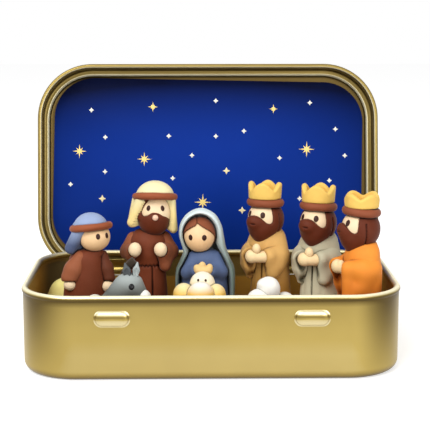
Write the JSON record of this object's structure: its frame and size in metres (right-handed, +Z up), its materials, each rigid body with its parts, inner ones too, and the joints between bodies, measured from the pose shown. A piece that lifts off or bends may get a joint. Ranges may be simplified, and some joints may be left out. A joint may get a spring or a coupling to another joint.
{
  "type": "nativity tin box",
  "caption": "Hinged gold tin standing open, with a nativity scene of small clay figures in it and a starry night card in its lid.",
  "frame": {"origin": "middle of the tin's underside", "axes": "+X along the tin to the viewer's right, +Y from the front to the hinges, +Z up"},
  "size_m": [0.117, 0.0919, 0.0872],
  "materials": {
    "gold_lacquer": "satin gold lacquer on tinplate",
    "night_card": "matte printed card",
    "skin_clay": "smooth matte clay",
    "brown_clay": "smooth matte clay",
    "hair_clay": "smooth matte clay",
    "terracotta_clay": "smooth matte clay",
    "dust_blue_clay": "smooth matte clay",
    "cream_clay": "smooth matte clay",
    "slate_blue_clay": "smooth matte clay",
    "sage_clay": "smooth matte clay",
    "tan_clay": "smooth matte clay",
    "grey_clay": "smooth matte clay",
    "orange_clay": "smooth matte clay",
    "crown_clay": "smooth matte clay",
    "donkey_clay": "smooth matte clay",
    "mane_clay": "smooth matte clay",
    "white_clay": "smooth matte clay",
    "straw_clay": "smooth matte clay"
  },
  "bodies": {
    "tin": {"tin_base": "gold_lacquer"},
    "lid": {"lid": "gold_lacquer", "sky_card": "night_card"},
    "shepherd": {"shepherd_robe": "brown_clay", "shepherd_head": "skin_clay", "shepherd_headcloth": "dust_blue_clay", "shepherd_headband": "terracotta_clay", "shepherd_sleeve_left": "brown_clay", "shepherd_sleeve_right": "brown_clay", "shepherd_hand_left": "skin_clay", "shepherd_hand_right": "skin_clay"},
    "father": {"father_robe": "brown_clay", "father_head": "skin_clay", "father_headcloth": "cream_clay", "father_headband": "terracotta_clay", "father_beard": "hair_clay", "father_sleeve_left": "brown_clay", "father_sleeve_right": "brown_clay", "father_hand_left": "skin_clay", "father_hand_right": "skin_clay"},
    "mother": {"mother_dress": "slate_blue_clay", "mother_head": "skin_clay", "mother_hair": "hair_clay", "mother_veil": "sage_clay", "mother_hands": "skin_clay"},
    "baby_in_manger": {"baby_manger": "brown_clay", "baby_head": "skin_clay", "baby_swaddling": "white_clay", "baby_straw": "straw_clay"},
    "donkey": {"donkey_body": "donkey_clay", "donkey_muzzle": "white_clay", "donkey_ear_left": "donkey_clay", "donkey_ear_right": "donkey_clay", "donkey_mane": "mane_clay", "donkey_saddle_cloth": "cream_clay"},
    "sheep": {"sheep_fleece": "white_clay", "sheep_head": "white_clay"},
    "king_tan": {"king_tan_robe": "tan_clay", "king_tan_mantle": "tan_clay", "king_tan_head": "skin_clay", "king_tan_hatband": "terracotta_clay", "king_tan_crown": "crown_clay", "king_tan_beard": "hair_clay", "king_tan_hands": "skin_clay"},
    "king_grey": {"king_grey_robe": "grey_clay", "king_grey_mantle": "grey_clay", "king_grey_head": "skin_clay", "king_grey_hatband": "terracotta_clay", "king_grey_crown": "crown_clay", "king_grey_beard": "hair_clay", "king_grey_hands": "skin_clay"},
    "king_orange": {"king_orange_robe": "orange_clay", "king_orange_mantle": "orange_clay", "king_orange_head": "skin_clay", "king_orange_hatband": "terracotta_clay", "king_orange_crown": "crown_clay", "king_orange_beard": "hair_clay", "king_orange_hands": "skin_clay"},
    "straw_bundle": {"straw_bundle": "straw_clay"}
  },
  "joints": [
    {"name": "lid_hinge", "type": "hinge", "parent": "tin", "child": "lid", "pos_m": [0, 0.035, 0.0182], "axis": [-1, 0, 0], "range_deg": [-45, 0]},
    {"name": "shepherd_lift", "type": "slide", "parent": "tin", "child": "shepherd", "axis": [0, 0, 1], "range_m": [0, 0.056]},
    {"name": "father_lift", "type": "slide", "parent": "tin", "child": "father", "axis": [0, 0, 1], "range_m": [0, 0.056]},
    {"name": "mother_lift", "type": "slide", "parent": "tin", "child": "mother", "axis": [0, 0, 1], "range_m": [0, 0.056]},
    {"name": "baby_in_manger_lift", "type": "slide", "parent": "tin", "child": "baby_in_manger", "axis": [0, 0, 1], "range_m": [0, 0.056]},
    {"name": "donkey_lift", "type": "slide", "parent": "tin", "child": "donkey", "axis": [0, 0, 1], "range_m": [0, 0.056]},
    {"name": "sheep_lift", "type": "slide", "parent": "tin", "child": "sheep", "axis": [0, 0, 1], "range_m": [0, 0.056]},
    {"name": "king_tan_lift", "type": "slide", "parent": "tin", "child": "king_tan", "axis": [0, 0, 1], "range_m": [0, 0.056]},
    {"name": "king_grey_lift", "type": "slide", "parent": "tin", "child": "king_grey", "axis": [0, 0, 1], "range_m": [0, 0.056]},
    {"name": "king_orange_lift", "type": "slide", "parent": "tin", "child": "king_orange", "axis": [0, 0, 1], "range_m": [0, 0.056]},
    {"name": "straw_bundle_lift", "type": "slide", "parent": "tin", "child": "straw_bundle", "axis": [0, 0, 1], "range_m": [0, 0.056]}
  ]
}
